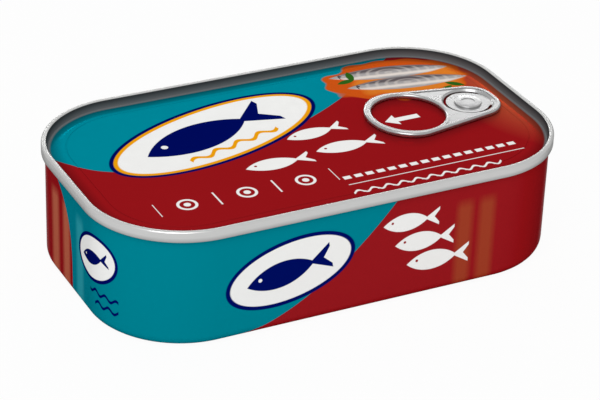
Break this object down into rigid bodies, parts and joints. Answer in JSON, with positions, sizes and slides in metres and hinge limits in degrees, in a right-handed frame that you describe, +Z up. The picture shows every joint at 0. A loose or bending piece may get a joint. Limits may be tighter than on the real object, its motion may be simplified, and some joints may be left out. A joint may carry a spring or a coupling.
{
  "type": "sardine tin",
  "caption": "Shut oblong food tin with rounded corners, a double-seamed lid and a flat ring-pull riveted near one end.",
  "frame": {"origin": "middle of the flat foot, at the centre of the tin's plan", "axes": "+X along the tin towards the rivet, +Y across it, +Z up out of the lid"},
  "size_m": [0.1056, 0.0616, 0.027],
  "materials": {
    "body_print": "gloss lacquered print in teal and red",
    "lid_print": "gloss lacquered print in red and teal",
    "bare_metal": "satin, rolled and pressed"
  },
  "bodies": {
    "root": {"can_body": "body_print", "lid": "lid_print", "ring_pull": "bare_metal"}
  },
  "joints": []
}
